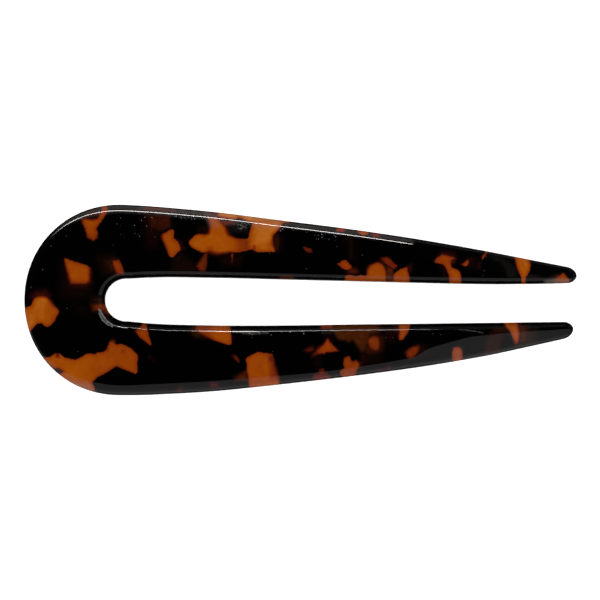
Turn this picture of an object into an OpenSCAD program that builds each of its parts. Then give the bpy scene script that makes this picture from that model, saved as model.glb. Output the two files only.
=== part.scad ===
// A one-piece hairpin cut from a flat sheet: a round crown, a slot and two tapering prongs.
// All sizes are millimetres. X runs from the crown to the tips, Y across the prongs,
// and Z up from the flat underside. The origin is the middle of the underside.

/* [Sheet] */
// Length from the crown's rim to the tip of the longer prong
length = 115; // [105:1:125]
// Width across the crown, the widest place
width = 39.7; // [37:0.1:43]
// Thickness of the sheet
thickness = 4; // [3:0.1:5]
// How much shorter the prong on the -Y side is
shorter_by = 0.6; // [0:0.1:2]

/* [Slot] */
// Width of the wall between the crown's rim and the slot
crown_wall = 16.8; // [15:0.1:18]
// Radius of the slot's closed end
slot_end_r = 4.45; // [4:0.05:5]

/* [Finish] */
// Fullness of the crown's outline, where 2 is a half circle and more is squarer
crown_power = 2.05; // [2:0.01:2.2]
// Length of the rounding at each tip
tip_round = 2; // [1.4:0.1:2.4]
// Fullness of the rounded edges, where 2 is an ellipse and less is nearer to a bevel
edge_power = 1.8; // [1.6:0.1:2.2]
// Share of the outer edge's rounding that is left at the middle of the crown
crown_roll = 0.45; // [0.4:0.05:1]

/* [Smoothness] */
// Sections round half the crown
crown_steps = 24; // [16:1:30]
// Sections along each prong
prong_steps = 26; // [20:1:34]
// Sections round each tip
tip_steps = 6; // [4:1:8]
// Steps from the upper face round the outer edge to the lower face
outer_steps = 14; // [10:2:18]
// Steps round the edge along the slot
slot_steps = 10; // [8:2:14]

/* [Hidden] */

// Outline of a prong, with a row for each place along it
ALONG = 0; // share of the way from the crown's middle to the tip
OUTER = 1; // outer edge's distance from the middle line, as a share of the crown's radius
SLOT = 2; // slot edge's distance from the middle line, as a share of the slot end's radius
MIDDLE = 3; // middle line's slight stray towards +Y, in millimetres
OUTLINE = [
    [0.00, 1.000, 1.000, 0.00],
    [0.05, 0.994, 1.067, -0.06],
    [0.10, 0.980, 1.104, -0.10],
    [0.20, 0.944, 1.112, -0.19],
    [0.35, 0.863, 1.073, -0.24],
    [0.50, 0.776, 1.011, -0.19],
    [0.65, 0.675, 0.953, -0.17],
    [0.80, 0.552, 0.904, -0.09],
    [0.90, 0.454, 0.894, 0.08],
    [1.00, 0.354, 0.905, 0.31]
];

// Section of a prong, with a row for each place along it
OUTER_ROLL = 1; // share of the prong's width that the outer edge's rounding takes
SLOT_ROLL = 2; // share of the prong's width that the slot edge's rounding takes
BODY = 3; // prong's thickness as a share of the sheet's
SECTION = [
    [0.00, 0.128, 0.095, 1.00],
    [0.07, 0.145, 0.097, 1.00],
    [0.25, 0.148, 0.105, 1.00],
    [0.42, 0.135, 0.118, 1.00],
    [0.64, 0.235, 0.150, 1.00],
    [0.69, 0.450, 0.165, 0.99],
    [0.73, 0.540, 0.180, 0.98],
    [0.79, 0.650, 0.205, 0.95],
    [0.86, 0.660, 0.240, 0.90],
    [1.00, 0.560, 0.330, 0.76]
];
// Angles from the middle of the crown between which the outer edge's rounding widens
WIDENS_FROM = 45;
WIDENS_TO = 80;

crown_r = width / 2;
crown_x = crown_r - length / 2;
slot_x = crown_wall + slot_end_r - length / 2;
// Material above and below the sheet that is cut off to leave its two flat faces
skim = 0.02;

// Rise of a column from row i to the next, for each step of ALONG
function rise(rows, i, column) =
    (rows[i + 1][column] - rows[i][column]) / (rows[i + 1][ALONG] - rows[i][ALONG]);

// Slope of a column at row i, which is level at the crown and never swings past a row
function slope(rows, i, column) =
    i == 0 ? 0
    : i == len(rows) - 1 ? rise(rows, i - 1, column)
    : let (before = rise(rows, i - 1, column), after = rise(rows, i, column))
        before * after <= 0 ? 0 : 2 * before * after / (before + after);

// Row that starts the stretch holding the place along
function row_before(rows, along, i = 0) =
    i == len(rows) - 2 || along < rows[i + 1][ALONG] ? i : row_before(rows, along, i + 1);

// Value of a column at any place along the prong, on a smooth curve through the rows
function value(rows, along, column) =
    let (
        i = row_before(rows, along),
        gap = rows[i + 1][ALONG] - rows[i][ALONG],
        t = (along - rows[i][ALONG]) / gap,
        start = rows[i][column],
        end = rows[i + 1][column]
    )
    start + (end - start) * t * t * (3 - 2 * t)
        + slope(rows, i, column) * gap * t * (1 - t) * (1 - t)
        - slope(rows, i + 1, column) * gap * t * t * (1 - t);

// Sine or cosine of an angle, swelled by a power that is 2 for a circle
function swelled(part, power) = sign(part) * pow(abs(part), 2 / power);

// Closed section of a prong as points [across from the slot's edge, up from the middle]
function profile(across, half_up, outer_roll, slot_roll) = concat(
    [for (i = [0:outer_steps])
        let (angle = 180 * i / outer_steps - 90)
        [
            across - outer_roll + outer_roll * swelled(cos(angle), edge_power),
            half_up * swelled(sin(angle), edge_power)
        ]],
    [for (i = [0:slot_steps])
        let (angle = 180 * i / slot_steps + 90)
        [
            slot_roll + slot_roll * swelled(cos(angle), edge_power),
            half_up * swelled(sin(angle), edge_power)
        ]]
);

// Ring of points round the section that stands between the slot's edge and the outer edge
function ring(slot_edge, outer_edge, along, shrink = 1, rolled = 1) =
    let (
        across = norm(outer_edge - slot_edge),
        outwards = (outer_edge - slot_edge) / across,
        half_up = (thickness / 2 + skim) * value(SECTION, along, BODY) * shrink,
        outer_roll = across * value(SECTION, along, OUTER_ROLL) * rolled,
        slot_roll = across * value(SECTION, along, SLOT_ROLL)
    )
    [for (p = profile(across, half_up, outer_roll, slot_roll))
        let (place = slot_edge + outwards * p[0])
        [place[0], place[1], thickness / 2 + p[1]]];

// Share of the outer edge's rounding at an angle of the crown, all of it where a prong starts
function rolled_at(angle) =
    let (t = min(1, max(0, (abs(angle) - WIDENS_FROM) / (WIDENS_TO - WIDENS_FROM))))
    crown_roll + (1 - crown_roll) * t * t * (3 - 2 * t);

// Ring of the crown at an angle from its far left, which fans round the slot's end
function crown_ring(angle) = ring(
    [slot_x - slot_end_r * cos(angle), slot_end_r * sin(angle)],
    [
        crown_x - crown_r * swelled(cos(angle), crown_power),
        crown_r * swelled(sin(angle), crown_power)
    ],
    0,
    1,
    rolled_at(angle)
);

// Tip of the prong on one side, 1 for +Y and -1 for -Y
function tip_x(side) = length / 2 - (side < 0 ? shorter_by : 0);

// Place along the longer prong that stands beside the place along a prong
function beside(side, along) = along * (tip_x(side) - crown_x) / (tip_x(1) - crown_x);

// Points on a prong's two edges
function outer_point(side, along) =
    let (place = beside(side, along))
    [
        crown_x + (tip_x(side) - crown_x) * along,
        side * crown_r * value(OUTLINE, place, OUTER) + value(OUTLINE, place, MIDDLE)
    ];
function slot_point(side, along) =
    let (place = beside(side, along))
    [
        slot_x + (tip_x(side) - slot_x) * along,
        side * slot_end_r * value(OUTLINE, place, SLOT) + value(OUTLINE, place, MIDDLE)
    ];

// Ring of a prong, drawn in towards its middle by the shrink of the rounded tip
function prong_ring(side, along, shrink = 1) =
    let (
        outer_edge = outer_point(side, along),
        slot_edge = slot_point(side, along),
        middle = (outer_edge + slot_edge) / 2
    )
    ring(middle + (slot_edge - middle) * shrink, middle + (outer_edge - middle) * shrink, along, shrink);

// Place where the rounding of a tip starts
function round_from(side) = 1 - tip_round / (tip_x(side) - crown_x);

// All rings of one prong, from the crown to the last one before the tip's point
function prong_rings(side) = concat(
    [for (i = [1:prong_steps])
        prong_ring(side, round_from(side) * i / prong_steps)],
    [for (i = [1:tip_steps - 1])
        let (angle = 90 * i / tip_steps)
        prong_ring(side, round_from(side) + (1 - round_from(side)) * sin(angle), cos(angle))]
);
function tip_point(side) =
    let (middle = (outer_point(side, 1) + slot_point(side, 1)) / 2)
    [middle[0], middle[1], thickness / 2];

function reversed(list) = [for (i = [len(list) - 1:-1:0]) list[i]];

// Solid swept from the tip on the +Y side round the crown to the tip on the -Y side
module blank() {
    rings = concat(
        reversed(prong_rings(1)),
        [for (i = [-crown_steps:crown_steps]) crown_ring(-90 * i / crown_steps)],
        prong_rings(-1)
    );
    size = len(rings[0]);
    last = len(rings) - 1;
    points = concat([for (r = rings) each r], [tip_point(1), tip_point(-1)]);
    first_tip = len(points) - 2;
    last_tip = len(points) - 1;
    sides = [for (r = [0:last - 1]) for (i = [0:size - 1])
        let (
            j = (i + 1) % size,
            a = r * size + i,
            b = r * size + j,
            c = (r + 1) * size + j,
            d = (r + 1) * size + i
        )
        each [[a, b, c], [a, c, d]]];
    caps = [for (i = [0:size - 1])
        let (j = (i + 1) % size)
        each [[first_tip, j, i], [last_tip, last * size + i, last * size + j]]];
    polyhedron(points = points, faces = concat(sides, caps), convexity = 6);
}

// Slab that trims the blank to the sheet's thickness
module sheet() {
    translate([0, 0, thickness / 2])
        cube([length + 10, width + 10, thickness], center = true);
}

module hairpin() {
    color([0.13, 0.06, 0.02])
        intersection() {
            blank();
            sheet();
        }
}

hairpin();
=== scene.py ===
# A one-piece tortoiseshell hairpin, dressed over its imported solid.
# Sizes are in millimetres, in the solid's own frame, and become metres at the mesh.
import math
import bpy
import numpy as np
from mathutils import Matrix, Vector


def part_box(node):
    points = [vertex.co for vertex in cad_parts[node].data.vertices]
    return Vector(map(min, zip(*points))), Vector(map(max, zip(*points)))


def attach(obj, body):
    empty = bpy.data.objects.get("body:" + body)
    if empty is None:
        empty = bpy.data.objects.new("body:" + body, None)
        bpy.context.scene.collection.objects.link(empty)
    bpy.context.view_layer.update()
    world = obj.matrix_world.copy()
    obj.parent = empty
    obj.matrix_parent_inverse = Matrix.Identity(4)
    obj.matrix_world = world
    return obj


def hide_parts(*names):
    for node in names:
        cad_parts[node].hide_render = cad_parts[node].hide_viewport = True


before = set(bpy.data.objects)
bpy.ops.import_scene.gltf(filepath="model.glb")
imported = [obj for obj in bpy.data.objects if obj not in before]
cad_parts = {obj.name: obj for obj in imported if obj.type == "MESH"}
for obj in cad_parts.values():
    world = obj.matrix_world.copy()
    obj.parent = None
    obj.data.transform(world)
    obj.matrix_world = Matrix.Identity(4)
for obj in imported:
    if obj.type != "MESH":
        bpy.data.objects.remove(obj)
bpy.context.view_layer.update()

MM = 0.001

# The solid's own sizes, as part.scad has them
low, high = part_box("hairpin")
length = (high.x - low.x) / MM
width = (high.y - low.y) / MM
thickness = (high.z - low.z) / MM
shorter_by = 0.6
crown_wall = 16.8
slot_end_r = 4.45
crown_power = 2.05
tip_round = 2.0
crown_r = width / 2
crown_x = crown_r - length / 2
slot_x = crown_wall + slot_end_r - length / 2
mid_z = thickness / 2

# Outline rows: place along a prong, outer edge (share of crown_r), slot edge (share of
# slot_end_r), and the middle line's slight stray towards +Y
OUTLINE = (
    (0, 1, 1, 0), (0.05, 0.994, 1.067, -0.06), (0.1, 0.98, 1.104, -0.1), (0.2, 0.944, 1.112, -0.19),
    (0.35, 0.863, 1.073, -0.24), (0.5, 0.776, 1.011, -0.19), (0.65, 0.675, 0.953, -0.17),
    (0.8, 0.552, 0.904, -0.09), (0.9, 0.454, 0.894, 0.08), (1, 0.354, 0.905, 0.31),
)
# Section rows: place along a prong, outer roll and slot roll (shares of its width), and body.
# The outer rolls are a little wider than the solid's as far as the 0.64 row.
SECTION = (
    (0, 0.138, 0.095, 1), (0.07, 0.155, 0.097, 1), (0.25, 0.165, 0.105, 1), (0.42, 0.15, 0.118, 1),
    (0.64, 0.242, 0.15, 1), (0.69, 0.45, 0.165, 0.99), (0.73, 0.54, 0.18, 0.98),
    (0.79, 0.65, 0.205, 0.95), (0.86, 0.66, 0.24, 0.9), (1, 0.56, 0.33, 0.76),
)
# Share of the outer roll left at the middle of the crown, and the angles from there in degrees
# between which it widens to all of it
crown_roll = 0.45
ROLL_WIDENS = (45.0, 80.0)

# How a polished edge bends over, from the flat face outwards: distance in from the edge as a
# share of its reach, tilt in degrees, and steps in the mesh from the row before
DOME_TILT = 7.0
OUTER_REACH = 1.36
CROWN_REACH = 0.78
REACH_WIDENS = (38.0, 90.0)
OUTER_BEND = ((1, 10, 4), (0.8, 43, 6), (0.17, 51, 4))
SLOT_TOP = ((0.93, 3, 0), (0.87, 8, 2))
SLOT_BEND = ((0.55, 42, 3), (0.45, 54, 3), (0.12, 62, 3))
NOSE_STEPS = 6
# How far along the last tilt the rounded nose's first handle lies, and how high its second one
NOSE_HANDLES = (0.55, 0.5)
# The slot edge's small shoulder, which mirrors the lamp as a thin line: its usual width, tilt
# and steps, and how wide it is along the -Y prong, as rows of x and a share of the usual
SHOULDER = 0.07
SHOULDER_TILT = 36.0
SHOULDER_STEPS = 4
SHOULDER_WIDTHS = (
    (-40, 0.75), (-22, 0.75), (-16.5, 3), (-9.5, 3), (-8, 1), (6, 1), (20, 0.75), (26, 0.5),
    (28.5, 0.1), (31, 0.02),
)
# Share of a wide shoulder's extra width that lies further in from the slot
SHOULDER_INWARD = 0.4
# The most that a bend may take of the outer roll, and the shoulder of the slot roll
REACH_LIMIT = 0.95
SHOULDER_LIMIT = 0.3

# Mesh steps
PRONG_STEPS = 270
TIP_STEPS = 13
CROWN_STEPS = 100
TOP_STRIPS = 34
UNDER_STRIPS = 12

# Camera, straight above as in the photograph
IMAGE_PX = 600
PX_PER_MM = 4.8
TURN = math.radians(0.494)
ORIGIN_PX = (300.45, 301.54)
CAMERA_UP = 800.0
SENSOR = 36.0


def add_object(name, data):
    thing = bpy.data.objects.new(name, data)
    bpy.context.collection.objects.link(thing)
    return thing


def make_camera():
    data = bpy.data.cameras.new("camera")
    data.sensor_width = SENSOR
    data.lens = SENSOR * (CAMERA_UP - mid_z) / (IMAGE_PX / PX_PER_MM)
    data.clip_start = 0.01
    data.clip_end = 20.0
    camera = add_object("camera", data)
    right = (IMAGE_PX / 2 - ORIGIN_PX[0]) / PX_PER_MM
    up = (ORIGIN_PX[1] - IMAGE_PX / 2) / PX_PER_MM
    x = right * math.cos(TURN) - up * math.sin(TURN)
    y = right * math.sin(TURN) + up * math.cos(TURN)
    camera.location = (x * MM, y * MM, CAMERA_UP * MM)
    camera.rotation_euler = (0.0, 0.0, TURN)
    bpy.context.scene.camera = camera


# Shape
def smooth(t):
    t = np.clip(t, 0, 1)
    return t * t * (3 - 2 * t)


def between(what, span):
    """How far something has come from the start of a span, 0, to its end, 1."""
    return smooth((what - span[0]) / (span[1] - span[0]))


def value(rows, along, column):
    """A column at places along the prong, on the smooth curve that the solid follows."""
    place = np.array([row[0] for row in rows])
    level = np.array([row[column] for row in rows])
    rise = np.diff(level) / np.diff(place)
    slope = np.zeros(len(rows))
    for i in range(1, len(rows) - 1):
        if rise[i - 1] * rise[i] > 0:
            slope[i] = 2 * rise[i - 1] * rise[i] / (rise[i - 1] + rise[i])
    slope[-1] = rise[-1]
    i = np.clip(np.searchsorted(place, along, side="right") - 1, 0, len(rows) - 2)
    gap = place[i + 1] - place[i]
    t = (along - place[i]) / gap
    return (
        level[i] + (level[i + 1] - level[i]) * t * t * (3 - 2 * t)
        + slope[i] * gap * t * (1 - t) ** 2 - slope[i + 1] * gap * t * t * (1 - t)
    )


def swelled(part, power):
    """Sine or cosine, swelled by a power that is 2 for a circle."""
    return np.sign(part) * np.abs(part) ** (2 / power)


def tip_x(side):
    return length / 2 - (shorter_by if side < 0 else 0.0)


def prong_places(side):
    """Places along a prong and how far its section has shrunk there, out to the tip's rounding."""
    round_from = 1 - tip_round / (tip_x(side) - crown_x)
    straight = round_from * np.arange(1, PRONG_STEPS + 1) / PRONG_STEPS
    angle = np.pi / 2 * np.arange(1, TIP_STEPS) / TIP_STEPS
    along = np.concatenate([straight, round_from + (1 - round_from) * np.sin(angle)])
    shrink = np.concatenate([np.ones(PRONG_STEPS), np.cos(angle)])
    return along, shrink


def prong_edges(side, along, shrink):
    """Slot edge and outer edge of a prong, drawn towards its middle where it shrinks."""
    beside = along * (tip_x(side) - crown_x) / (tip_x(1) - crown_x)
    outer = np.stack([
        crown_x + (tip_x(side) - crown_x) * along,
        side * crown_r * value(OUTLINE, beside, 1) + value(OUTLINE, beside, 3),
    ], axis=1)
    slot = np.stack([
        slot_x + (tip_x(side) - slot_x) * along,
        side * slot_end_r * value(OUTLINE, beside, 2) + value(OUTLINE, beside, 3),
    ], axis=1)
    middle = (outer + slot) / 2
    shrink = shrink[:, None]
    return middle + (slot - middle) * shrink, middle + (outer - middle) * shrink


def crown_edges(angle):
    slot = np.stack([slot_x - slot_end_r * np.cos(angle), slot_end_r * np.sin(angle)], axis=1)
    outer = np.stack([
        crown_x - crown_r * swelled(np.cos(angle), crown_power),
        crown_r * swelled(np.sin(angle), crown_power),
    ], axis=1)
    return slot, outer


def bend(half_up, knots):
    """Half an edge's section from the flat face outwards: distances in from the edge, and heights.

    Each knot holds a distance in from the edge, the tilt there in degrees and the steps to it,
    and the surface gets evenly steeper from one knot to the next.
    """
    place, tilt, _ = knots[0]
    tilt = math.radians(tilt)
    inward, height = [place], [half_up]
    for next_place, next_tilt, steps in knots[1:]:
        turn = math.radians(next_tilt) - tilt
        base = height[-1]
        for i in range(1, steps + 1):
            part = i / steps
            fall = (math.log(math.cos(tilt)) - math.log(math.cos(tilt + turn * part))) / turn
            inward.append(place + (next_place - place) * part)
            height.append(base - (place - next_place) * fall)
        place, tilt = next_place, tilt + turn
    # The rounded nose is a cubic curve that leaves at the last tilt and ends upright at the edge
    ahead, lift = NOSE_HANDLES
    up = height[-1]
    pull = up - ahead * place * math.tan(tilt)
    for i in range(1, NOSE_STEPS + 1):
        t = i / NOSE_STEPS
        s = 1 - t
        inward.append(s * s * (s + 3 * t * (1 - ahead)) * place)
        height.append(s ** 3 * up + 3 * t * s * s * pull + 3 * t * t * s * lift * up)
    return np.concatenate(inward, axis=1), np.concatenate(height, axis=1)


def section(across, half_up, outer_roll, slot_roll, reach, shoulder):
    """Closed sections as distances from the slot's edge and heights from the middle."""
    reach = np.minimum(reach * half_up / mid_z, REACH_LIMIT * outer_roll)
    shoulder = np.minimum(shoulder * half_up / mid_z, SHOULDER_LIMIT * slot_roll)
    outer = [(reach * share, tilt, steps) for share, tilt, steps in OUTER_BEND]
    slot = [(slot_roll * share, tilt, steps) for share, tilt, steps in SLOT_TOP]
    wider = np.maximum(shoulder - SHOULDER, 0.0)
    slot[-1] = (slot[-1][0] + SHOULDER_INWARD * wider, *slot[-1][1:])
    slot.append((slot[-1][0] - shoulder, SHOULDER_TILT, SHOULDER_STEPS))
    slot += [(slot_roll * share, tilt, steps) for share, tilt, steps in SLOT_BEND]
    outer_in, outer_up = bend(half_up, [(outer_roll, DOME_TILT, 0)] + outer)
    slot_in, slot_up = bend(half_up, slot)
    flat = across - outer_roll - slot_roll
    top = np.arange(1, TOP_STRIPS) / TOP_STRIPS
    under = np.arange(1, UNDER_STRIPS) / UNDER_STRIPS
    out = np.concatenate([
        across - outer_in, across - outer_in[:, -2::-1], slot_roll + flat * (1 - top),
        slot_in, slot_in[:, -2::-1], slot_roll + flat * under,
    ], axis=1)
    up = np.concatenate([
        -outer_up, outer_up[:, -2::-1], half_up * np.ones_like(top),
        slot_up, -slot_up[:, -2::-1], -half_up * np.ones_like(under),
    ], axis=1)
    return out, up


def swept_faces(rings, size):
    """Quads between neighbouring rings, and a fan from each end ring to its tip."""
    faces = []
    for r in range(rings - 1):
        a = r * size
        for i in range(size):
            j = (i + 1) % size
            faces.append((a + i, a + size + i, a + size + j, a + j))
    first_tip = rings * size
    end = first_tip - size
    for i in range(size):
        j = (i + 1) % size
        faces.append((first_tip, i, j))
        faces.append((first_tip + 1, end + j, end + i))
    return faces


def hairpin_mesh():
    """The swept mesh: its points in millimetres and its faces."""
    prongs = []
    for side in (1, -1):
        along, shrink = prong_places(side)
        slot, outer = prong_edges(side, along, shrink)
        prongs.append((slot, outer, along, shrink, np.full(len(along), 90.0)))
    angle = np.pi / 2 * (-np.arange(-CROWN_STEPS, CROWN_STEPS + 1) / CROWN_STEPS)
    slot, outer = crown_edges(angle)
    crown = (slot, outer, np.zeros(len(angle)), np.ones(len(angle)), np.abs(np.degrees(angle)))
    # From the tip on the +Y side round the crown to the tip on the -Y side
    slot, outer, along, shrink, turned = (
        np.concatenate([a[::-1], b, c]) for a, b, c in zip(prongs[0], crown, prongs[1])
    )
    across = np.linalg.norm(outer - slot, axis=1)[:, None]
    outwards = (outer - slot) / across
    half_up = (mid_z * value(SECTION, along, 3) * shrink)[:, None]
    rolled = crown_roll + (1 - crown_roll) * between(turned, ROLL_WIDENS)
    reach = CROWN_REACH + (OUTER_REACH - CROWN_REACH) * between(turned, REACH_WIDENS)
    outer_roll = across * (rolled * value(SECTION, along, 1))[:, None]
    slot_roll = across * value(SECTION, along, 2)[:, None]
    widths = np.interp(slot[:, 0], *zip(*SHOULDER_WIDTHS))
    shoulder = SHOULDER * np.where(slot[:, 1] < 0, widths, 1.0)
    out, up = section(across, half_up, outer_roll, slot_roll, reach[:, None], shoulder[:, None])
    x = slot[:, :1] + outwards[:, :1] * out
    y = slot[:, 1:] + outwards[:, 1:] * out
    points = np.stack([x, y, mid_z + up], axis=2).reshape(-1, 3)
    for side in (1, -1):
        tip, _ = prong_edges(side, np.ones(1), np.zeros(1))
        points = np.concatenate([points, [(*tip[0], mid_z)]])
    return points, swept_faces(*x.shape)


# The pattern's charts. An outline is a ring of points: x, y and, where it isn't the row's usual
# one, how soft the edge is there, all in tenths of a millimetre.

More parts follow.
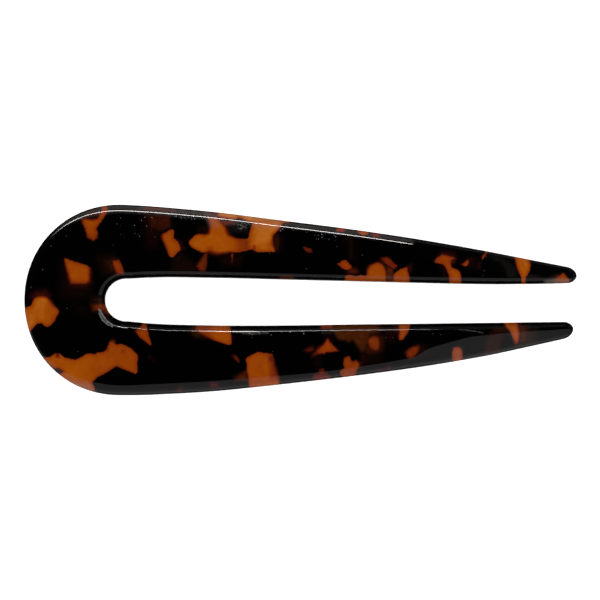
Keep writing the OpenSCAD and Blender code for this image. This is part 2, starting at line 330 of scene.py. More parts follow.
# Flecks: glow from 0, black, to 1, amber, and paler above that; tint from -1, olive, to 1, red;
# usual softness; outline
FLECKS = dict(
    crown_claw=(0.8, 0, 1, ((-457, 170, 4), (-455, 161, 2), (-450, 151, 1.5), (-445, 131), (-432, 123, 1.5),
        (-423, 130, 1.5), (-422, 141), (-425, 150), (-414, 166), (-402, 184), (-405, 205, 0), (-415, 205, 0),
        (-416, 185), (-425, 171, 4), (-435, 170, 6), (-448, 172, 6))),
    crown_shard=(0.81, 0, 0, ((-492, 86, 1), (-487, 86.5), (-466, 79.5), (-442, 72), (-437, 67, 4),
        (-435, 48.5, 8), (-435, 38, 11), (-444, 30, 14), (-463, 29.5, 15), (-481, 30, 14), (-486, 50, 10),
        (-490, 68, 6))),
    slot_wedge=(0.64, 0, 10, ((-394, 87), (-377, 86, 1.5), (-370, 70, 0), (-367, 60, 0), (-368, 55, 1),
        (-383, 53, 5), (-391, 64), (-396, 76))),
    rim_left=(0.94, 0, 0, ((-555, 5, 4), (-546, 10.5, 7), (-535, 11.5, 8), (-524, 8, 7), (-518, -1, 5),
        (-512, -11, 3), (-504, -17.5, 2), (-501, -24, 1), (-511, -44.5), (-517, -52), (-524, -56),
        (-532, -54), (-535, -49), (-544, -48), (-550, -52), (-560, -65), (-585, -65), (-585, -18),
        (-573, -17), (-565, -13.5), (-559, -11), (-557, -4))),
    lower_bank=(0.88, 0, 0, ((-536, -120), (-520, -118.5), (-508, -110), (-500.5, -110), (-489.5, -118.5),
        (-469, -124), (-459, -120.5), (-444, -111), (-435, -110), (-426.5, -112), (-423, -108.5),
        (-411, -107.5), (-402.5, -102, 1), (-397, -87, 2), (-392, -83, 5), (-386, -82, 6), (-384, -89, 2),
        (-379, -91), (-370, -89.5), (-352, -98), (-340, -109), (-336, -116), (-338, -125), (-337, -149),
        (-341, -152), (-353, -148), (-381, -136.5), (-388.5, -141), (-407, -153), (-420, -159), (-432, -172),
        (-426.5, -180), (-428, -205), (-465, -205), (-520, -170), (-530, -145), (-516, -141))),
    slot_tooth=(0.7, 0, 0, ((-344, -62, 2), (-335, -75), (-318, -88), (-310, -94), (-309, -88), (-313, -76),
        (-318, -56), (-321, -42), (-327, -44), (-332, -53, 3), (-340, -59, 3))),
    lower_slot_bank=(0.84, 0, 0, ((-226, -56, 9), (-214, -70, 11), (-200, -75, 9), (-192, -76, 4),
        (-173, -83), (-148, -90.5), (-142, -89), (-142, -72), (-148, -42), (-195, -42, 2), (-215, -46, 5))),
    lower_sliver=(0.44, 0.3, 0, ((-141, -109, 4), (-132, -112), (-126, -119), (-124, -125), (-128, -128),
        (-140, -115, 3))),
    lower_block=(0.82, 0, 0, ((-113, -119), (-108, -114), (-94, -107), (-87, -104), (-75, -106), (-59, -107),
        (-56, -109), (-54, -116), (-52, -125, 3), (-46, -146, 4), (-42, -155, 3), (-40, -185), (-104, -185),
        (-110, -153, 4), (-112, -148, 3), (-110, -130))),
    upper_kite=(0.83, 0, 0, ((-289, 140, 4), (-281, 143, 2), (-272, 149), (-267, 150), (-264, 146),
        (-264, 131), (-254, 123.5), (-249, 110), (-249, 107), (-260, 97.5), (-263, 92), (-268.5, 90),
        (-273, 93), (-283.5, 118, 3), (-289, 128, 4), (-292, 136.5, 6))),
    upper_bank_left=(0.88, 0, 0, ((-234, 121), (-229, 129), (-222, 136), (-215, 141, 2), (-200, 140, 3),
        (-193, 143, 6), (-191, 160, 5), (-196, 173, 4), (-192, 178, 5), (-172, 177, 6), (-165, 170, 9),
        (-154, 156, 9), (-152, 147, 8), (-149, 139, 5), (-134, 132, 1), (-114, 130), (-109, 120),
        (-109, 107), (-130, 102), (-148, 102, 4), (-158, 99, 6), (-170, 97, 8), (-182, 99, 7),
        (-192, 102, 5), (-203, 101), (-216, 106), (-228, 113))),
    upper_bank_right=(0.93, 0, 0, ((-116, 131), (-110, 132), (-108, 140), (-105, 152), (-102, 164),
        (-110, 190), (-30, 180), (-40, 159, 1), (-46, 150, 2), (-57, 138, 2), (-55, 122, 14), (-51, 106, 7),
        (-56, 104), (-85, 103), (-94, 104), (-102, 109), (-116, 106))),
    upper_rim=(1.2, 0, 0, ((-179, 179, 7), (-169, 173, 4), (-135, 170), (-133, 173.5, 2), (-126, 173.5, 3),
        (-119, 169.5, 2), (-110, 167), (-102, 164), (-60, 166), (-24, 165), (-30, 190), (-172, 200, 7))),
    upper_slip=(0.44, -0.1, 1, ((-220, 73, 5), (-208, 89, 3), (-201, 100), (-194, 99), (-194, 80),
        (-197, 63), (-206, 60, 3), (-214, 64, 6))),
    upper_streak=(0.56, 0.3, 0, ((-146, 100), (-140, 100), (-140.5, 77, 1), (-144.5, 77, 1))),
    slot_rim_amber=(0.36, -0.3, 0, ((-44, 54), (-36, 56), (-16, 55), (-12, 42), (-46, 42))),
    upper_chip=(0.46, 0.2, 0, ((3, 115, 2), (9, 116), (16, 113), (22, 112), (24, 105), (19, 102), (12, 104),
        (7, 109))),
    upper_drop=(0.76, 0.25, 0, ((74, 81), (80, 81.5), (85.5, 87), (93, 89), (99, 84), (102, 79.5), (107, 76),
        (106, 71.5), (100, 67.5), (93, 67.5), (86, 71), (81, 76))),
    upper_dome=(0.83, 0, 0, ((92, 40), (92, 56), (103, 58), (115, 55), (125, 58.5), (132, 56), (137, 57),
        (137.5, 68.5, 4), (141, 76, 4), (149, 81.5, 3), (160, 85, 2), (168, 82.5, 3), (175, 77, 4),
        (179, 68.5, 5), (181, 60, 6), (181, 40, 6))),
    upper_leaf=(0.54, 0.2, 0, ((165, 91, 3), (168, 94.5, 3), (177, 96, 2), (183.5, 94.5, 1), (189, 89),
        (194, 84), (201, 78), (200, 74), (194, 69.5), (183.5, 74, 3), (174, 81.5, 3), (168, 87, 4))),
    upper_fin=(0.83, 0, 0, ((189, 40, 3), (191, 53, 2), (193, 60), (199, 65), (207, 70.5), (214, 73),
        (221.5, 76), (223, 68.5), (225, 62), (227, 53), (227.5, 40))),
    upper_arch=(0.73, 0.1, 0, ((277, 87, 1), (282, 95, 2), (289, 101, 2), (300, 104, 3), (312, 100, 3),
        (322, 97, 3), (324, 92, 3), (313, 89), (312.5, 81.5), (314, 75), (320, 73), (327, 70), (331, 66),
        (333.5, 58), (334, 40), (309.5, 40), (307, 60), (302, 71), (297, 80), (289, 82), (280, 84))),
    upper_tick=(0.86, 0.2, 0, ((332, 83, 1), (340, 87.5), (347, 92, 1.5), (356, 94, 3), (350, 86, 1),
        (347.5, 79), (342, 76.5), (337, 79.5))),
    upper_comma=(0.88, 0.35, 0, ((375, 93.5), (378, 100), (383, 105), (387, 112), (389, 110), (385, 101),
        (382, 97), (379, 92), (376, 91))),
    upper_funnel=(0.94, 0, 0, ((443, 102), (445, 91, 1), (449, 75, 2), (453, 66, 2), (458, 56.5), (460, 40),
        (468, 40), (468.5, 56.5), (473, 64), (477, 72, 1), (478.5, 82, 2), (477, 91, 2), (476, 99))),
    upper_tip_dab=(0.76, 0, 0, ((520, 40, 8), (526, 56, 7), (533, 61, 4), (540, 63, 2), (545, 66.5, 1),
        (549, 64.5), (553, 59), (559, 52), (561, 42))),
    rim_pair_left=(0.72, 0.4, 0, ((74, 147, 1), (89, 146, 1), (93, 152), (92, 164), (72, 166), (73, 152))),
    rim_pair_middle=(0.95, 0.2, 0, ((113, 159), (115, 150), (120, 145), (124, 141), (130, 140), (140, 142),
        (141, 155))),
    rim_pair_right=(0.48, 0.3, 0, ((146, 154), (147, 142), (150, 136), (158, 134), (164, 135, 4),
        (169, 140, 7), (164, 149, 6))),
    lower_star=(0.76, 0.1, 1, ((59, -73, 4), (62, -80, 1.5), (73, -93), (82, -101), (76, -102), (53, -104),
        (52, -108), (44, -107, 2), (36, -110, 6), (26, -113, 9), (26, -106, 9), (33, -97, 6), (40, -91, 4),
        (48, -87, 2), (52, -80, 2), (55, -74, 3))),
    lower_rim_fin=(0.4, 0.3, 0, ((40, -138), (49, -136), (53, -143), (68, -156), (68, -170), (24, -172),
        (27, -155), (28, -150), (38, -146))),
    lower_flag=(0.68, 0, 0, ((92, -113.5), (103, -111), (107, -120), (111, -123), (115, -119, 1),
        (121.5, -121, 3), (126, -126.5, 3), (125, -133, 2), (121, -138.5, 2), (118, -146, 2), (112, -160),
        (90, -162), (82, -145), (86, -139.5), (92, -136), (90, -125))),
    lower_blot=(0.58, -0.15, 12, ((134, -74), (146, -65, 11), (162, -65, 10), (169, -74, 9), (170, -85, 9),
        (169, -97, 10), (160, -105, 11), (148, -102), (138, -94))),
    lower_slant=(0.8, 0, 0, ((203, -38, 3), (232, -38), (226, -56), (223, -61), (218, -70), (213, -77),
        (206, -77, 2), (203, -69, 4), (204, -61, 5), (201, -53, 7))),
    lower_chip=(0.52, -0.1, 2, ((218, -101, 3), (225, -95), (233.5, -89.5), (247, -85, 5), (252, -89, 8),
        (251, -99, 8), (244, -108, 5), (236, -114, 3), (228, -116), (222, -113), (219, -106, 3))),
    lower_bean=(0.77, 0, 0, ((316, -99), (320, -92), (328, -89, 1), (334, -92, 1), (338, -102, 1),
        (339, -124), (319, -126), (316, -109.5))),
    lower_hook=(0.85, 0, 11, ((420, -35, 3), (457, -35, 7), (457, -49, 9), (460, -59.5, 10), (460, -70),
        (457, -82), (449, -86, 6), (443, -73, 1), (439, -63, 0), (435, -56, 0), (426, -49, 3))),
)

# Brown and olive shades round the flecks: strength, tint, usual softness, outline
SHADES = dict(
    crown_haze=(0.1, 0.1, 14, ((-498, 80), (-500, 10, 18), (-450, 4, 18), (-438, 26), (-438, 56, 10))),
    shard_under=(0.18, -0.2, 6, ((-486, 42), (-482, 23, 9), (-440, 22, 9), (-432, 46), (-460, 44, 4))),
    crown_under=(0.05, -0.4, 16, ((-484, -6, 18), (-466, -28, 18), (-442, -30), (-438, -8))),
    claw_top=(0.24, -0.4, 3, ((-454, 172, 4), (-445, 184, 4), (-420, 189), (-416, 174))),
    wedge_halo=(0.14, -0.3, 3, ((-422, 90, 14), (-390, 96, 9), (-376, 88, 4), (-386, 52), (-410, 54, 12))),
    wedge_olive=(0.24, -0.6, 4, ((-408, 84, 7), (-392, 88, 5), (-386, 64), (-396, 58, 6))),
    rim_fringe=(0.26, 0.3, 6, ((-565, 5), (-550, 19, 9), (-530, 21, 9), (-518, 10, 8), (-525, -5))),
    slot_end_brown=(0.53, -0.2, 3, ((-433, -9, 9), (-420, -6, 5), (-406, -7), (-394, -27), (-399, -31),
        (-412, -21), (-431, -21, 7))),
    slot_end_haze=(0.2, -0.5, 12, ((-436, 6), (-414, 8, 6), (-406, -6, 4), (-434, -8))),
    olive_left=(0.35, -1, 9, ((68, -40, 2), (70, -63, 3), (82, -76, 5), (96, -72), (96, -40))),
    slot_bank_olive=(0.26, -0.8, 6, ((-230, -44), (-226, -68), (-214, -76), (-202, -74, 5), (-204, -44, 5))),
    lower_dot_a=(0.2, 1, 3, ((-315, -113), (-308, -115), (-309, -119), (-315, -118))),
    lower_dot_b=(0.2, 1, 3, ((-307, -121), (-301, -124), (-302, -129), (-306, -128))),
    lower_dot_c=(0.2, 1, 3, ((-141, -72), (-136, -73), (-136, -79), (-140, -79))),
    block_tail=(0.36, -0.2, 8, ((-136, -157), (-123, -149, 5), (-112, -142, 3), (-108, -164, 4),
        (-134, -164))),
    upper_veil=(0.11, 0.2, 11, ((-332, 178, 9), (-308, 184, 6), (-268, 180, 4), (-268, 154, 4),
        (-292, 142, 6), (-298, 110, 9), (-318, 110), (-326, 145))),
    veil_core=(0.25, -0.4, 4, ((-322, 181, 9), (-272, 178), (-270, 154), (-288, 145, 5), (-314, 150, 10))),
    kite_right=(0.2, 0.4, 3, ((-259, 132), (-248, 124, 4), (-240, 108, 5), (-250, 104))),
    streak_haze=(0.11, 0, 8, ((-170, 96), (-120, 98), (-126, 76), (-164, 74))),
    lobe_olive=(0.22, -0.7, 4, ((-59, 138), (-46, 144, 6), (-43, 125, 6), (-46, 105), (-56, 108, 3))),
    lobe_right=(0.08, 0.9, 5, ((-46, 144), (-36, 144), (-36, 106), (-46, 106))),
    post=(0.13, -0.8, 2, ((100, 138), (108, 136), (108, 92, 3), (100, 92, 3))),
    post_haze=(0.04, 0.3, 8, ((76, 142), (122, 134), (120, 86), (104, 84))),
    arch_top=(0.16, 0.1, 4, ((282, 100), (292, 112, 5), (316, 110, 6), (326, 98), (304, 98, 3))),
    arch_left=(0.12, 0.3, 4, ((286, 88, 5), (304, 84), (308, 50), (296, 50, 6))),
    tick_haze=(0.1, 0.2, 5, ((330, 83), (350, 97), (366, 96, 8), (364, 76, 8), (336, 75))),
    rim_mauve=(0.36, 0.3, 4, ((-202, 180), (-174, 177, 5), (-170, 187), (-200, 190))),
    notch_red=(0.45, 0.2, 4, ((-172, 170, 5), (-134, 169), (-138, 162), (-150, 159, 5), (-164, 152, 6))),
    upper_brown=(0.12, -0.2, 3, ((-214, 156, 6), (-192, 156), (-192, 140), (-214, 140, 4))),
    upper_under=(0.11, -0.3, 4, ((-270, 84), (-250, 105), (-232, 88), (-214, 76), (-204, 58, 3),
        (-268, 58, 5))),
    rim_pink=(0.34, 0.7, 4, ((-273, 184), (-262, 183), (-261, 195), (-273, 196))),
    rim_dim=(0.34, 0.1, 6, ((-330, 186, 8), (-275, 182), (-273, 196), (-330, 202))),
    lower_rim_red=(0.36, 0.8, 3, ((-257, -189), (-250, -179), (-244, -178), (-246, -192))),
    lower_rim_red_b=(0.34, 0.7, 4, ((-189, -168), (-170, -168), (-168, -179), (-184, -180))),
    drop_shadow=(0.32, 0, 4, ((98, 70), (114, 74), (123, 62), (110, 59, 3), (96, 62))),
    dome_link=(0.38, -0.4, 3, ((176, 79, 4), (192, 72), (194, 56), (192, 40), (178, 40))),
    fin_halo=(0.22, 0.1, 4, ((218, 77), (231, 83), (232, 68), (225, 60))),
    arch_lobe=(0.34, 0.4, 5, ((310, 96), (322, 94, 4), (320, 84), (312, 78, 3))),
    comma_dot=(0.36, 1, 3, ((368, 83), (373, 83), (374, 76), (369, 75))),
    funnel_left=(0.2, 0.3, 3, ((439, 100, 4), (448, 99), (450, 76), (445, 86))),
    tip_brown=(0.38, -0.6, 4, ((516, 40, 6), (524, 54, 7), (540, 62, 5), (558, 54), (559, 40))),
    star_left=(0.38, 0.2, 3, ((8, -100), (14, -95), (26, -91, 4), (30, -100, 4), (16, -104))),
    star_haze=(0.09, 0.5, 4, ((50, -66, 5), (64, -65), (72, -84), (62, -84, 3), (48, -82))),
    star_under=(0.1, 0.1, 6, ((30, -110), (44, -110), (42, -136, 8), (30, -132, 8))),
    lower_rim_brown=(0.56, 0.15, 2, ((41, -43), (69, -43), (68, -55, 3), (42, -56, 3))),
    olive_bank=(0.34, -0.6, 3, ((67, -40), (69, -62), (79, -78), (94, -79), (102, -83), (108, -78),
        (114, -83, 4), (127, -103, 5), (136, -100, 8), (142, -85, 8), (146, -66, 6), (166, -62, 7),
        (168, -40, 6))),
    olive_red=(0.12, 0.2, 8, ((172, -46), (202, -46, 5), (198, -82), (172, -84))),
    olive_core=(0.41, -0.4, 7, ((118, -62, 8), (134, -62), (140, -74), (126, -78, 8))),
    blot_halo=(0.23, -0.5, 8, ((130, -70), (150, -60), (176, -70, 6), (174, -98, 7), (158, -108),
        (140, -109, 9), (129, -96, 6))),
    blot_low=(0.13, 0, 4, ((126, -102, 5), (140, -106, 6), (146, -124, 9), (130, -128, 7), (125, -114))),
    blot_under=(0.08, 0.2, 6, ((130, -100), (172, -106, 8), (170, -126), (132, -130))),
    slant_halo=(0.24, 0.1, 4, ((193, -40, 6), (205, -40), (205, -66, 5), (196, -62, 7))),
    chip_halo=(0.12, -0.3, 5, ((244, -84), (264, -88, 7), (264, -106, 7), (236, -116))),
    flag_halo=(0.22, 0.2, 4, ((122, -118), (132, -122, 5), (130, -138, 5), (122, -144))),
    pink_a=(0.34, 1, 3, ((180, -131), (189, -130), (189, -140), (180, -140))),
    pink_b=(0.34, 1, 3, ((160, -138), (178, -137), (178, -146), (162, -146))),
    hook_halo=(0.32, -0.4, 5, ((454, -40), (474, -46, 9), (472, -78, 9), (456, -82))),
    hook_left=(0.19, -0.6, 3, ((398, -49, 5), (430, -48), (436, -59), (402, -61, 5))),
    patch=(0.17, -0.2, 3, ((394, -58, 2), (424, -58), (415, -100), (380, -104))),
    hook_glow=(0.15, -0.2, 5, ((456, -50), (490, -54, 12), (488, -84, 10), (456, -90))),
    hook_top=(0.3, 0.1, 3, ((419, -36, 4), (430, -36), (432, -50), (424, -48, 4))),
)

# Spots inside flecks: the share of glow that they take away, or add where it is negative; usual
# softness; outline
SPOTS = dict(
    bank_notch=(0.8, 2.5, ((-507, -109), (-501, -109), (-501, -119), (-506, -119))),
    bank_left=(0.9, 3, ((-530, -142), (-502, -141), (-491, -148), (-502, -158, 4), (-530, -170, 4))),
    bank_spot=(0.3, 3, ((-371, -103), (-365, -103), (-365, -108), (-371, -108))),
    bank_right=(0.1, 15, ((-440, -80), (-330, -80), (-330, -170), (-440, -170))),
    claw_low=(0.16, 6, ((-450, 138), (-420, 138), (-420, 120), (-450, 120))),
    rim_right=(0.12, 8, ((-526, 10), (-500, 10), (-500, -60), (-526, -60))),
    block_spot=(0.35, 4, ((-65, -114), (-59, -114), (-59, -123), (-65, -123))),
    block_right=(0.36, 6, ((-62, -106, 7), (-40, -106), (-40, -160), (-62, -160, 7))),
    slot_bank_left=(0.24, 8, ((-228, -40), (-184, -40, 9), (-184, -79, 9), (-228, -79))),
    upper_patch=(0.22, 4, ((-194, 113), (-184, 113), (-184, 102), (-194, 102))),
    tip_left=(0.2, 6, ((516, 64), (536, 66, 7), (542, 40, 7), (516, 40))),
    upper_wedge=(0.6, 2, ((-100, 106), (-96, 104), (-95, 116), (-98, 117))),
    upper_red=(0.28, 10, ((-134, 132), (-106, 128, 4), (-106, 107, 4), (-132, 103))),
    rim_left_dim=(0.08, 12, ((-200, 195, 6), (-115, 186), (-115, 166), (-200, 170, 6))),
    lobe_bright=(-0.08, 10, ((-90, 165, 12), (-50, 160), (-60, 125), (-90, 125))),
    arch_low=(-0.16, 6, ((308, 80), (334, 74), (334, 40), (306, 40))),
    star_left=(0.22, 8, ((15, -85), (42, -88), (42, -116), (15, -116))),
)

# Pale films under the polish, some of them painted sheen and highlights: strength, usual softness, outline
FILMS_AND_SHEEN = dict(
    slant_film=(0.02, 6, ((205, -46), (226, -46), (222, -70), (208, -74))),
    bean_film=(0.1, 5, ((318, -94), (336, -94), (336, -116), (319, -114))),
    # Painted highlight and painted sheen along the upper tip's slot edge
    tip_highlight=(0.42, 3, ((508, 49), (530, 52), (560, 51), (560, 44, 2), (510, 44))),
    tip_sheen=(0.03, 2, ((470, 63), (484, 60), (510, 55), (536, 62, 3), (536, 52), (470, 53))),
    hook_haze=(0.02, 5, ((456, -50), (490, -54, 12), (488, -84, 10), (456, -90))),
    # Painted reflection on the upper rim's mirrored band
    rim_sheen=(0.16, 5, ((-202, 184, 4), (-170, 180), (-174, 154, 6), (-190, 156))),
    notch_wash=(0.08, 3, ((-170, 172, 4), (-130, 169), (-132, 161), (-166, 158, 5))),
    notch_film=(0.025, 3, ((-150, 168, 5), (-110, 165), (-112, 144, 6), (-144, 144, 8))),
    # Painted highlight: the glow round the upper rim's lamp line
    lamp_line_glow=(0.14, 3, ((-102, 166), (-80, 164, 5), (-40, 159), (-46, 152), (-80, 153, 6), (-104, 156, 4))),
    # Painted reflection on the upper rim's mirrored band
    rim_band_sheen=(0.08, 4, ((-340, 189), (-270, 183), (-195, 176, 5), (-186, 188, 5), (-270, 197), (-340, 202))),
    # Painted reflection on the lower crown rim's bevel
    bank_rim_sheen=(0.25, 4, ((-514, -148), (-475, -169), (-432, -176, 3), (-426, -194), (-480, -185),
        (-520, -162))),
    brown_film=(0.05, 3, ((42, -42), (68, -42), (68, -64), (46, -64, 4))),
    slot_bank_film=(0.05, 4, ((-220, -40, 6), (-144, -40), (-144, -58, 3), (-216, -58))),
    hook_film=(0.05, 5, ((430, -46, 6), (454, -48, 6), (454, -74), (446, -76))),
    # Painted sheen on the upper prong's dome
    prong_sheen=(0.022, 1, ((389, 99), (410, 90), (422, 80), (426, 70), (430, 55), (450, 55, 3),
        (446, 74, 3), (436, 86, 3), (420, 94, 3), (404, 100, 2))),
)

# Fine pale dots where worn polish catches the lamp lines, painted as glints: share of the mosaic's cells
# that hold one, usual softness, outline
WEAR_GLINTS = dict(
    crown=(0.03, 10, ((-440, 185), (-300, 183), (-330, 120, 15), (-400, 120, 20))),
    veil=(0.06, 6, ((-348, 182), (-320, 182, 9), (-324, 140, 8), (-336, 124))),
    veil_b=(0.05, 10, ((-320, 182, 8), (-280, 180, 8), (-290, 135), (-326, 120))),
    rim_a=(0.95, 3, ((-274, 184, 5), (-194, 178), (-198, 168, 4), (-264, 173, 6))),
    rim_b=(0.95, 2, ((-142, 168, 5), (-122, 169), (-109, 164), (-112, 150, 3), (-128, 148, 6))),
    rim_c=(0.75, 4, ((-44, 159, 3), (10, 154, 5), (10, 148), (-46, 149))),
    rim_d=(0.4, 5, ((26, 150), (80, 144), (76, 131, 6), (32, 128, 6))),
    slot_a=(0.9, 2, ((-110, -63), (-54, -62), (-56, -67, 3), (-108, -70, 3))),
    slot_b=(0.5, 3, ((-50, -60), (75, -57), (75, -62), (-50, -64))),
)

# Thin streaks in the polish, painted as highlights where slot edges and rims mirror the lamp, partly over
# real scuffs: strength, half width and path, in millimetres
HIGHLIGHT_STREAKS = (
    (0.5, 0.1, ((-41.9, -1.7), (-41.7, -3.1), (-41.05, -4.15), (-40.1, -4.95), (-39, -5.4))),
    (0.72, 0.1, ((-41.6, -2), (-41.05, -3.1), (-40.1, -4.3), (-38.9, -5.1), (-37.4, -5.5), (-36, -5.65))),
    (0.26, 0.22, ((-41.6, -2.4), (-41.2, -3.5), (-40.4, -4.4), (-39.2, -5.1))),
    (0.16, 0.1, ((32.9, -5.4), (35, -5.55), (36.8, -5.8), (38, -6.05))),
    (0.36, 0.1, ((-14, -6.38), (-10.5, -6.38), (-8.2, -6.28))),
    (0.12, 0.28, ((-11.8, -6.5), (-9.2, -6.48), (-6.8, -6.36))),
    (0.25, 0.09, ((-13.4, 16.1), (-12.2, 15.9), (-11.3, 15.3))),
    (0.2, 0.08, ((-12.9, 15.1), (-11.9, 15.5), (-11.2, 16))),
)

# Specks of dust on the upper face: place and radius in millimetres, and strength
SPECKS = (
    (-48.7, 13.3, 0.11, 0.5), (-52, 11.2, 0.12, 0.6), (-38.3, 16, 0.11, 0.6), (-37.5, 13.8, 0.1, 0.5),
    (-34.5, 14, 0.12, 0.5), (-39, 11.5, 0.1, 0.5), (-53.6, 6.3, 0.14, 0.7), (-56, 2.6, 0.18, 0.3),
    (-48.5, -1.7, 0.12, 0.6), (-46.2, -10.6, 0.1, 0.5), (29.35, 10.2, 0.11, 0.6), (12.8, 9.9, 0.11, 0.5),
    (-6.5, 10.05, 0.1, 0.5), (1.2, 7, 0.12, 0.5), (7.5, 11.6, 0.11, 0.5), (38.1, 6.9, 0.11, 0.6),
    (37.9, 5.9, 0.1, 0.5), (17.8, -7.2, 0.11, 0.5), (19.3, -7.2, 0.1, 0.5), (27.6, -6.35, 0.11, 0.5),
    (29.2, -6.5, 0.1, 0.5), (-5.7, -10.3, 0.1, 0.5),
)

# The chart's y, read before the crown's middle was placed, runs this much ahead of the frame's
CHART_AHEAD = 0.14
# The charts' steps in a millimetre
STEPS_PER_MM = 10
# Blur of the sharpest edge in millimetres, and how many blurs from an edge still count
EDGE_SHARP = 0.17
EDGE_LIMIT = 8.0
# An edge goes from one blur outside it to one inside it
ACROSS = (-1.0, 1.0)
# How far outside an outline its row is still worked out
REACH = 2.5
# This near its edge a fleck is darker, by the first share, and by the second too where it is soft
FRINGE = 0.9
FRINGE_DEPTH = (0.2, 0.2)
# Where flecks meet, a fleck's weight rises over these blurs and these millimetres inwards
WEIGHT_BLURS = (-1.5, 1.0)
WEIGHT_INWARD = (0.0, 1.2)
WEIGHT_LEAST = 0.15
# For each millimetre of depth a fleck shrinks and blurs, a shade shrinks, and both slant
FLECK_SHRINKS = 0.8
BLUR_GROWS = 0.1
SHADE_SHRINKS = 0.5
SLANT = (0.25, -0.15)
# Films, painted sheen and the painted glints on worn polish are gone this deep
FACE_DEPTH = 2.0
# The turned copy of the chart: its shift, its depth as a share of the height, and the lead in
# blurs over which it takes over. The lower half starts this far below the sheet's middle.
TURNED_SHIFT = (7.0, 0.4)
TURNED_DEPTH = 0.8
TURNED_LEAD = (-0.5, 0.5)
MIDDLE_GAP = 0.01


def inward_from(x, y, outline, usual):
    """Places near a closed outline, their distance inwards from it, and its softness there."""
    pts = np.array([p if len(p) == 3 else (*p, usual) for p in outline]) / STEPS_PER_MM
    (x0, y0, _), (x1, y1, _) = pts.min(axis=0) - REACH, pts.max(axis=0) + REACH
    k = np.nonzero((x > x0) & (x < x1) & (y > y0) & (y < y1))[0]
    x, y = x[k], y[k]
    best = np.full(x.shape, REACH ** 2)
    soft = np.full(x.shape, pts[:, 2].mean())
    inside = np.zeros(x.shape, bool)
    for a, b in zip(pts, np.roll(pts, -1, axis=0)):
        step = b - a
        t = ((x - a[0]) * step[0] + (y - a[1]) * step[1]) / (step[0] ** 2 + step[1] ** 2)
        t = np.clip(t, 0, 1)
        away = (x - a[0] - t * step[0]) ** 2 + (y - a[1] - t * step[1]) ** 2
        nearer = away < best
        best = np.where(nearer, away, best)
        soft = np.where(nearer, a[2] + t * step[2], soft)
        if a[1] != b[1]:
            crosses = (a[1] > y) != (b[1] > y)
            inside ^= crosses & (x < a[0] + (y - a[1]) * step[0] / step[1])
    return k, np.where(inside, 1, -1) * np.sqrt(best), soft


def chart_fields(x, y, buried):
    """The chart's fields at places that lie so deep below the face that shows it."""
    edge = np.full(x.shape, -EDGE_LIMIT)
    blur = np.full(x.shape, EDGE_SHARP)
    glow_sum, tint_sum, shade, spot, film_and_sheen, wear_glint = np.zeros((6, *x.shape))
    # The tiny weights keep places outside every fleck from dividing by nothing
    weight_sum = np.full(x.shape, 1e-6)
    for glow, tint, usual, outline in FLECKS.values():
        k, inward, soft = inward_from(x, y, outline, usual)
        inward = inward - FLECK_SHRINKS * buried[k]
        blur_here = EDGE_SHARP + soft + BLUR_GROWS * buried[k]
        e = np.clip(inward / blur_here, -EDGE_LIMIT, EDGE_LIMIT)
        ahead = e > edge[k]
        edge[k] = np.where(ahead, e, edge[k])
        blur[k] = np.where(ahead, blur_here, blur[k])
        w = between(e, WEIGHT_BLURS) * (WEIGHT_LEAST + between(inward, WEIGHT_INWARD)) + 1e-5
        depth = FRINGE_DEPTH[0] + FRINGE_DEPTH[1] * np.minimum(soft, 1.0)
        fringe = 1 - depth * (1 - smooth(inward / FRINGE))
        glow_sum[k] += w * glow * fringe
        tint_sum[k] += w * tint
        weight_sum[k] += w
    for strength, tint, usual, outline in SHADES.values():
        k, inward, soft = inward_from(x, y, outline, usual)
        inward = inward - SHADE_SHRINKS * buried[k]
        level = strength * between(inward / (EDGE_SHARP + soft), ACROSS)
        shade[k] = np.maximum(shade[k], level)
        w = level * (1 - between(edge[k], ACROSS))
        tint_sum[k] += w * tint
        weight_sum[k] += w
    for field, chart in ((spot, SPOTS), (film_and_sheen, FILMS_AND_SHEEN), (wear_glint, WEAR_GLINTS)):
        for strength, usual, outline in chart.values():
            k, inward, soft = inward_from(x, y, outline, usual)
            field[k] += strength * between(inward / (EDGE_SHARP + soft), ACROSS)
    near_face = 1 - smooth(buried / FACE_DEPTH)
    return {
        "edge": edge, "blur": blur, "glow": glow_sum / weight_sum, "tint": tint_sum / weight_sum,
        "shade": shade, "spot": np.clip(spot, -1, 1), "film_and_sheen": film_and_sheen * near_face,
        "wear_glint": wear_glint * near_face,
    }


def pattern_fields(points):
    """The upper chart as seen from above, and for the lower half also a turned copy of it."""
    x, y, z = points.T
    y = y + CHART_AHEAD
    buried = np.maximum(mid_z - z, 0)
    fields = chart_fields(x + SLANT[0] * buried, y + SLANT[1] * buried, buried)
    lower = np.nonzero(z < mid_z - MIDDLE_GAP)[0]
    shift_x, shift_y = TURNED_SHIFT
    turned = chart_fields(x[lower] + shift_x, shift_y - y[lower], TURNED_DEPTH * z[lower])
    ahead = between(turned["edge"] - fields["edge"][lower], TURNED_LEAD)
    for name in ("edge", "blur", "glow", "tint", "spot"):
        fields[name][lower] += (turned[name] - fields[name][lower]) * ahead
    fields["shade"][lower] = np.maximum(fields["shade"][lower], turned["shade"])
    return fields


# Materials
def linear(rgb):
    """An 8-bit colour as linear light, divided by the light that falls on it."""
    out = []
    for c in rgb:
        c = c / 255
        c = c / 12.92 if c <= 0.04045 else ((c + 0.055) / 1.055) ** 2.4
        out.append(c / LIGHT_LEVEL)
    return (*out, 1.0)


